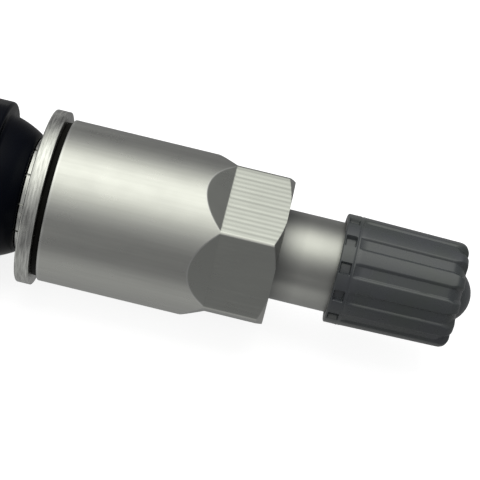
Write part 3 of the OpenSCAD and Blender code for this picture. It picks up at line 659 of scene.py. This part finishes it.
def build_cap():
    """Ribbed outer skin, dome and plain bore as one closed skin."""
    half, fine, close, wide = FLUTE_PITCH / 2, 9.5, 0.5, 1.1
    local = np.concatenate([
        span(-half, -fine, wide)[:-1], span(-fine, fine, close), span(fine, half, wide)[1:-1]])
    angles = np.concatenate([FLUTE_CLOCK + FLUTE_PITCH * k + local for k in range(FLUTES)])
    start, end = CAP_X
    skirt_r = CAP_R[0]
    skirt = [(skirt_r - 0.4, start), (skirt_r - 0.15, start + 0.02), (skirt_r - 0.05, start + 0.08),
             (skirt_r, start + 0.18)]
    skirt += [(skirt_r, x) for x in span(start + 0.25, SKIRT_END_X - 0.18, 0.06)]
    groove = [(0.005, -0.14), (0.02, -0.08), (0.04, -0.02), (0.05, 0.03), (0.035, 0.08), (0.015, 0.13)]
    skirt += [(skirt_r - sunk, SKIRT_END_X + past) for sunk, past in groove]
    rings = [ring(angles, x, pocketed(angles, np.full(angles.shape, r), x)) for r, x in skirt]
    rings += [ring(angles, x, fluted(angles, x)) for x in span(SKIRT_END_X + 0.16, end - FLUTE_ROUND, 0.4)]
    for t in np.radians(np.linspace(4, 90, 24)):
        x = end - FLUTE_ROUND * (1 - math.sin(t))
        rings.append(ring(angles, x, fluted(angles, x)))
    base_r, height = 2.4, DOME_TIP_X - end
    rings += [ring(angles, end, base_r + out) for out in (0.65, 0.45, 0.25, 0.1)]
    rings.append(ring(angles, end + 0.02, base_r + 0.02))
    dome_r = (base_r ** 2 + height ** 2) / (2 * height)
    for t in np.linspace(math.asin(base_r / dome_r) * 0.98, 0, 16):
        rings.append(ring(angles, DOME_TIP_X - dome_r + dome_r * math.cos(t), dome_r * math.sin(t)))
    bore, mouth_r, roof_x = 3.925, 4.65, end - 1.5
    inside = [(0, roof_x), (bore - 0.025, roof_x), (bore, roof_x - 0.05), (bore, SKIRT_END_X + 0.5),
              (mouth_r, SKIRT_END_X + 0.2), (mouth_r, start + 0.15), (mouth_r + 0.07, start + 0.03),
              (mouth_r + 0.2, start)]
    rings += [ring(angles, x, r) for r, x in inside]
    add_piece("cap_dressed", make_mesh("cap_dressed", *skin(rings, True)), "valve_cap", CAP, sharp=40)


# Moulded and inner pieces
WELDED = ("WELD", {"merge_threshold": 1e-6})


def soften(node, voxel, rounds, keep):
    """The node's own form with its edges softly rounded, kept within the node's box."""
    source = nodes[node].data
    spots = np.array([v.co[:] for v in source.vertices])
    mesh = with_modifiers(
        source.copy(), WELDED,
        ("REMESH", {"mode": "VOXEL", "voxel_size": voxel * MM}),
        ("SMOOTH", {"factor": 0.5, "iterations": rounds}),
        ("DECIMATE", {"decimate_type": "COLLAPSE", "ratio": keep}))
    moved = np.array([v.co[:] for v in mesh.vertices]).clip(spots.min(axis=0), spots.max(axis=0))
    mesh.vertices.foreach_set("co", moved.ravel())
    add_piece(node + "_soft", mesh, node, PLAIN[node], sharp=80)


def ease(node, width):
    """The node's own form with its sharp edges broken, width in mm."""
    flat, sharp = math.radians(1), math.radians(35)
    mesh = with_modifiers(
        nodes[node].data.copy(), WELDED,
        ("DECIMATE", {"decimate_type": "DISSOLVE", "angle_limit": flat}),
        ("BEVEL", {"width": width * MM, "segments": 2, "limit_method": "ANGLE", "angle_limit": sharp}))
    add_piece(node + "_eased", mesh, node, PLAIN[node], sharp=50)


def blocks(name, boxes, node, material, width):
    """Blocks with broken edges, each given by two corners in mm."""
    points, faces = [], []
    sides = [(0, 2, 3, 1), (4, 5, 7, 6), (0, 1, 5, 4), (2, 6, 7, 3), (0, 4, 6, 2), (1, 3, 7, 5)]
    for box in boxes:
        first = len(points)
        points += [(box[i][0], box[j][1], box[k][2]) for i in (0, 1) for j in (0, 1) for k in (0, 1)]
        faces += [tuple(first + p for p in side) for side in sides]
    mesh = with_modifiers(make_mesh(name, points, faces), ("BEVEL", {"width": width * MM, "segments": 2}))
    add_piece(name, mesh, node, material)


# Electronics
def build_capacitors():
    """Six chip capacitors with their tinned ends."""
    size, pitch, end, inset, overlap = np.array([0.9, 0.5, 0.55]), (1.15, 0.85), 0.18, 0.02, 0.05
    step = np.array([end - overlap, inset, inset])
    bodies, ends = [], []
    low = node_box("capacitors")[0]
    for i in range(2):
        for j in range(3):
            a = low + [i * pitch[0], j * pitch[1], 0]
            b = a + size
            bodies.append((a + step, b - step))
            ends.append((a, (a[0] + end, b[1], b[2])))
            ends.append(((b[0] - end, a[1], a[2]), b))
    blocks("capacitor_bodies", bodies, "capacitors", CERAMIC, 0.03)
    blocks("capacitor_ends", ends, "capacitors", STRIP, 0.04)


def rounded_loop(half_x, half_z, r, steps=5):
    """Corner points of a rounded rectangle round the Y axis."""
    loop = []
    for k, (sx, sz) in enumerate(((1, 1), (-1, 1), (-1, -1), (1, -1))):
        for t in np.linspace(0, math.pi / 2, steps + 1) + k * math.pi / 2:
            loop.append((sx * (half_x - r) + r * math.cos(t), 0, sz * (half_z - r) + r * math.sin(t)))
    return np.array(loop)


def build_winding():
    """The coil's copper wire, turn beside turn."""
    low, high = node_box("coil_winding")
    middle, half = (low + high) / 2, (high - low) / 2
    wall, wire, per_turn, outer_round, inner_round = 0.55, 0.16, 6, 0.35, 0.05
    turns = round(2 * half[1] / wire)
    rings = []
    for t in np.linspace(0, turns, turns * per_turn + 1):
        sink = wire / 2 * (1 - math.sqrt(max(0.0, 1 - (2 * (t % 1) - 1) ** 2)))
        loop = rounded_loop(half[0] - sink, half[2] - sink, outer_round)
        rings.append(loop + middle + [0, half[1] * (2 * t / turns - 1), 0])
    for y in (half[1], -half[1]):
        rings.append(rounded_loop(half[0] - wall, half[2] - wall, inner_round) + middle + [0, y, 0])
    mesh = make_mesh("winding_dressed", *skin(rings, True))
    add_piece("winding_dressed", mesh, "coil_winding", COPPER, sharp=70)


def build_spring():
    """The core's spring, with a closed turn at each end."""
    x0, x1, turns, coil_r, wire_r = 28.0, 33.1, 8, 1.08, 0.15
    per_turn, sides, closed_rise, stroke = 36, 10, 0.31, 1.2
    margin = wire_r + 0.02
    free_turns = turns - 2
    free_rise = (x1 - x0 - 2 * margin - 2 * closed_rise) / free_turns
    around = 2 * np.pi * np.arange(sides) / sides
    rings = []
    for t in np.linspace(0, turns, turns * per_turn + 1):
        closed = min(t, 1) + max(0, t - turns + 1)
        rise = closed_rise * closed + free_rise * np.clip(t - 1, 0, free_turns)
        a, r = 2 * math.pi * t, coil_r + wire_r * np.cos(around)
        x = x0 + margin + rise + wire_r * np.sin(around)
        rings.append(np.stack([x, r * math.cos(a), r * math.sin(a)], 1))
    for spot, ring_at in ((0, rings[0]), (len(rings) + 1, rings[-1])):
        rings.insert(spot, np.tile(ring_at.mean(axis=0), (sides, 1)))
    mesh = make_mesh("spring_dressed", *skin(rings, False))
    piece = add_piece("spring_dressed", mesh, "core_spring", STEEL)
    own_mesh(piece)


EASED = {
    "base_cover": 0.2, "circuit_board": 0.04, "coin_cell": 0.08, "cell_top_tab": 0.03,
    "cell_bottom_tab": 0.03, "sensor_chip": 0.12, "port_gasket": 0.1, "coil_core": 0.12, "antenna": 0.04,
    "crystal": 0.12, "clamp_screw": 0.08, "cap_seal": 0.1, "core_plug": 0.06, "core_barrel": 0.06,
    "core_gasket": 0.05, "core_pin": 0.06, "core_seal": 0.06,
}
soften("housing", voxel=0.22, rounds=6, keep=0.4)
for node, width in EASED.items():
    ease(node, width)
build_capacitors()
build_winding()
build_spring()
build_nut()
build_washer()
build_ring()
build_grommet()
build_stem()
build_cap()


# Floor, reflected studio and lamps
def stage_mesh(name, points, faces, material):
    """A mesh of the surroundings, from points in metres."""
    mesh = bpy.data.meshes.new(name)
    mesh.from_pydata([tuple(p) for p in points], [], faces)
    mesh.materials.append(material)
    piece = bpy.data.objects.new(name, mesh)
    bpy.context.scene.collection.objects.link(piece)
    return piece


def only_reflected(piece, levels):
    """Makes a card that nothing but gloss sees, shining at a level for each of its points."""
    piece.visible_camera = piece.visible_diffuse = False
    piece.visible_shadow = piece.visible_transmission = False
    layer = piece.data.attributes.new("level", "FLOAT", "POINT")
    layer.data.foreach_set("value", levels)


def seen_directly(tree):
    """1 for camera, glossy and transmission rays, else 0."""
    path = tree.nodes.new("ShaderNodeLightPath")
    value = path.outputs["Is Camera Ray"]
    for name in ("Is Glossy Ray", "Is Transmission Ray"):
        either = tree.nodes.new("ShaderNodeMath")
        either.operation = "MAXIMUM"
        tree.links.new(value, either.inputs[0])
        tree.links.new(path.outputs[name], either.inputs[1])
        value = either.outputs["Value"]
    return value


def card_material():
    """Shines at the level that each point of a card carries, a little warmer where it is bright."""
    dim, bright, warm = 0.2, 0.9, (1, 1.01, 0.94, 1)
    card = bpy.data.materials.new("studio_card")
    card.use_nodes = True
    tree = card.node_tree
    tree.nodes.remove(tree.nodes["Principled BSDF"])
    level = tree.nodes.new("ShaderNodeAttribute")
    level.attribute_name = "level"
    lamp = tree.nodes.new("ShaderNodeEmission")
    share = tree.nodes.new("ShaderNodeMapRange")
    share.inputs["From Min"].default_value = dim
    share.inputs["From Max"].default_value = bright
    tone = tree.nodes.new("ShaderNodeMix")
    tone.data_type = "RGBA"
    tone.inputs["A"].default_value = (1, 1, 1, 1)
    tone.inputs["B"].default_value = warm
    tree.links.new(level.outputs["Fac"], share.inputs["Value"])
    tree.links.new(share.outputs["Result"], tone.inputs["Factor"])
    tree.links.new(tone.outputs["Result"], lamp.inputs["Color"])
    tree.links.new(level.outputs["Fac"], lamp.inputs["Strength"])
    tree.links.new(lamp.outputs["Emission"], tree.nodes["Material Output"].inputs["Surface"])
    return card


CARD = card_material()


def build_dome():
    """The studio as gloss sees it: a bright softbox overhead that fades to dark walls."""
    radius, around, up, lowest = 0.8, 72, 46, -2
    wall, peak = 0.19, 1.52
    middle_x, middle_y = math.radians(-5), math.radians(2.5)
    width_left, width_right = math.radians(42), math.radians(20)
    width_front, width_back = math.radians(31.5), math.radians(26)
    heights = np.radians(np.linspace(lowest, 90, up))
    points, levels, faces = [], [], []
    for i, e in enumerate(heights):
        for k in range(around):
            a = 2 * math.pi * k / around
            d = np.array([math.cos(e) * math.cos(a), math.cos(e) * math.sin(a), math.sin(e)])
            height = max(d[2], 1e-6)
            off_x = math.atan2(d[0], height) - middle_x
            off_y = math.atan2(d[1], height) - middle_y
            width_x = width_right if off_x > 0 else width_left
            width_y = width_back if off_y > 0 else width_front
            levels.append(wall + peak * math.exp(-0.5 * ((off_x / width_x) ** 2 + (off_y / width_y) ** 2)))
            points.append(d * radius)
            if i + 1 < up:
                n = (k + 1) % around
                faces.append((i * around + k, i * around + n, (i + 1) * around + n, (i + 1) * around + k))
    only_reflected(stage_mesh("studio_dome", points, faces, CARD), levels)


def build_table():
    """The table as gloss sees it: grey, lighter in a band in front of nut and stem and away to the left.

    Its lines stand close near the valve and far apart towards the edge.
    """
    half, count, crowding = 0.8, 81, 5
    level, lift, left_lift = 0.21, 0.21, 0.4
    middle, width, left, left_fade, right, right_fade = -14.0, 7.0, -25.0, 5, 33.0, 3
    z = (BASE_Z - 0.01) * MM
    lines = np.sinh(np.linspace(-crowding, crowding, count)) / math.sinh(crowding) * half
    points, levels, faces = [], [], []
    for i, y in enumerate(lines):
        band = lift * math.exp(-0.5 * ((y / MM - middle) / width) ** 2)
        for k, x in enumerate(lines):
            near = 1 / (1 + math.exp((x / MM - right) / right_fade))
            far_left = 1 / (1 + math.exp((x / MM - left) / left_fade))
            points.append((x, y, z))
            levels.append(level + band * near + left_lift * far_left)
            if i + 1 < count and k + 1 < count:
                a = i * count + k
                faces.append((a, a + 1, a + count + 1, a + count))
    only_reflected(stage_mesh("studio_table", points, faces, CARD), levels)


def build_floor():
    """A white floor that keeps a soft shadow."""
    grey, glow, half = 0.4, 0.84, 3.0
    z = (BASE_Z - 0.02) * MM
    material = bpy.data.materials.new("floor_white")
    material.use_nodes = True
    tree = material.node_tree
    tree.nodes.remove(tree.nodes["Principled BSDF"])
    plain = tree.nodes.new("ShaderNodeBsdfDiffuse")
    plain.inputs["Color"].default_value = (grey, grey, grey, 1)
    lift = tree.nodes.new("ShaderNodeEmission")
    scale = tree.nodes.new("ShaderNodeMath")
    scale.operation = "MULTIPLY"
    scale.inputs[1].default_value = glow
    tree.links.new(seen_directly(tree), scale.inputs[0])
    tree.links.new(scale.outputs["Value"], lift.inputs["Strength"])
    both = tree.nodes.new("ShaderNodeAddShader")
    tree.links.new(plain.outputs["BSDF"], both.inputs[0])
    tree.links.new(lift.outputs["Emission"], both.inputs[1])
    tree.links.new(both.outputs["Shader"], tree.nodes["Material Output"].inputs["Surface"])
    corners = [(-half, -half, z), (half, -half, z), (half, half, z), (-half, half, z)]
    stage_mesh("floor", corners, [(0, 1, 2, 3)], material)


def build_lamps():
    """A softbox overhead, a little behind the object, and the pale room."""
    radiance, middle_x = 2.0, 0.012
    room, room_seen = 0.6, 1.0
    lamp = bpy.data.lights.new("softbox", "AREA")
    lamp.shape = "RECTANGLE"
    lamp.size, lamp.size_y = 0.44, 0.6
    lamp.energy = radiance * math.pi * lamp.size * lamp.size_y
    box = bpy.data.objects.new("softbox", lamp)
    box.location = (middle_x, 0.10, 0.55)
    box.visible_glossy = False
    aim = Vector((middle_x, 0, 0)) - box.location
    box.rotation_euler = aim.to_track_quat("-Z", "Y").to_euler()
    bpy.context.scene.collection.objects.link(box)
    world = bpy.data.worlds.new("studio")
    world.use_nodes = True
    bpy.context.scene.world = world
    tree = world.node_tree
    level = tree.nodes.new("ShaderNodeMapRange")
    level.inputs["To Min"].default_value = room
    level.inputs["To Max"].default_value = room_seen
    tree.links.new(seen_directly(tree), level.inputs["Value"])
    tree.links.new(level.outputs["Result"], tree.nodes["Background"].inputs["Strength"])
    tree.nodes["Background"].inputs["Color"].default_value = (1, 1, 1, 1)


def build_camera():
    """The photograph's viewpoint, high over the front and rolled. The camera looks at foot_x head on."""
    elevation, roll = math.radians(44), math.radians(13.6)
    distance, foot_x, centre_x, centre_up = 168.7, 22.1, 20.15, 0.4
    half_image, pixels_per_mm = 240, 10.3
    half_frame = half_image / pixels_per_mm
    back = Vector((0, -math.cos(elevation), math.sin(elevation)))
    level_up = Vector((0, math.sin(elevation), math.cos(elevation)))
    place = Vector((foot_x, 0, 0)) + back * distance
    target = Vector((centre_x, 0, 0)) + level_up * centre_up
    forward = (target - place).normalized()
    side = Vector((1, 0, 0))
    side = (side - side.dot(forward) * forward).normalized()
    up = (-forward).cross(side)
    right = math.cos(roll) * side + math.sin(roll) * up
    top = -math.sin(roll) * side + math.cos(roll) * up
    turn = Matrix((right, top, -forward)).transposed()
    lens = bpy.data.cameras.new("camera")
    lens.sensor_fit = "HORIZONTAL"
    lens.angle = 2 * math.atan(half_frame / distance)
    lens.clip_start = 0.005
    camera = bpy.data.objects.new("camera", lens)
    camera.matrix_world = Matrix.Translation(place * MM) @ turn.to_4x4()
    bpy.context.scene.collection.objects.link(camera)
    bpy.context.scene.camera = camera


build_floor()
build_table()
build_dome()
build_lamps()
build_camera()
bpy.context.scene.view_settings.view_transform = "Standard"
